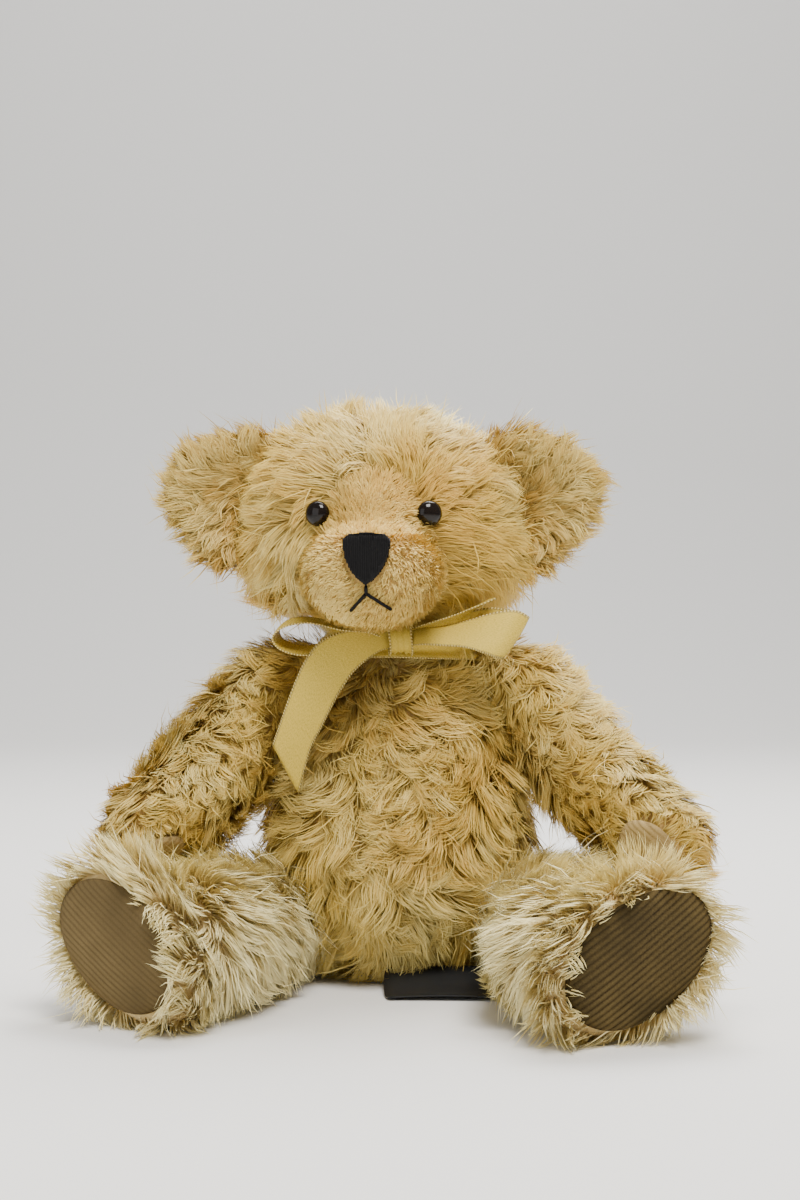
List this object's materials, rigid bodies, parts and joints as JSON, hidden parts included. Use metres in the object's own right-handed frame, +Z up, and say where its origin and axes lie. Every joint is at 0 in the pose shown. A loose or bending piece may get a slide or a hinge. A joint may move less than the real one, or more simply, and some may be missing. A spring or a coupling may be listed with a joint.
{
  "type": "sitting teddy bear",
  "caption": "Small sewn teddy bear in golden long-pile mohair, sitting with its legs out, with corduroy soles, a black stitched nose and a satin neck bow.",
  "frame": {"origin": "middle of the flat seat under the body, on the surface that the bear sits on", "axes": "+Z up, the bear faces -Y, +X towards the bear's own left side"},
  "size_m": [0.1697, 0.1329, 0.158],
  "materials": {
    "mohair": "long golden pile, matted into locks, paler at the tips",
    "short_pile": "short clipped pile",
    "corduroy": "ribbed corduroy, rubbed and dirty",
    "stuffing": "polyester fibre, hidden inside the covers",
    "black_eye": "high gloss black",
    "washer": "plain moulded, hidden",
    "black_thread": "satin stitch in black embroidery thread",
    "satin": "pale gold satin with woven edges",
    "label_cloth": "woven black satin tape, left bare"
  },
  "bodies": {
    "root": {"body_cover": "mohair", "body_stuffing": "stuffing", "seat_label": "label_cloth", "head_cover": "mohair", "muzzle_panel": "short_pile", "head_stuffing": "stuffing", "nose_embroidery": "black_thread", "mouth_stitch_centre": "black_thread", "mouth_stitch_left": "black_thread", "mouth_stitch_right": "black_thread", "ear_left": "mohair", "eye_left": "black_eye", "eye_washer_left": "washer", "ear_right": "mohair", "eye_right": "black_eye", "eye_washer_right": "washer", "arm_cover_left": "mohair", "paw_pad_left": "corduroy", "arm_stuffing_left": "stuffing", "arm_cover_right": "mohair", "paw_pad_right": "corduroy", "arm_stuffing_right": "stuffing", "leg_cover_left": "mohair", "foot_pad_left": "corduroy", "leg_stuffing_left": "stuffing", "leg_cover_right": "mohair", "foot_pad_right": "corduroy", "leg_stuffing_right": "stuffing", "neck_ribbon": "satin"}
  },
  "joints": []
}
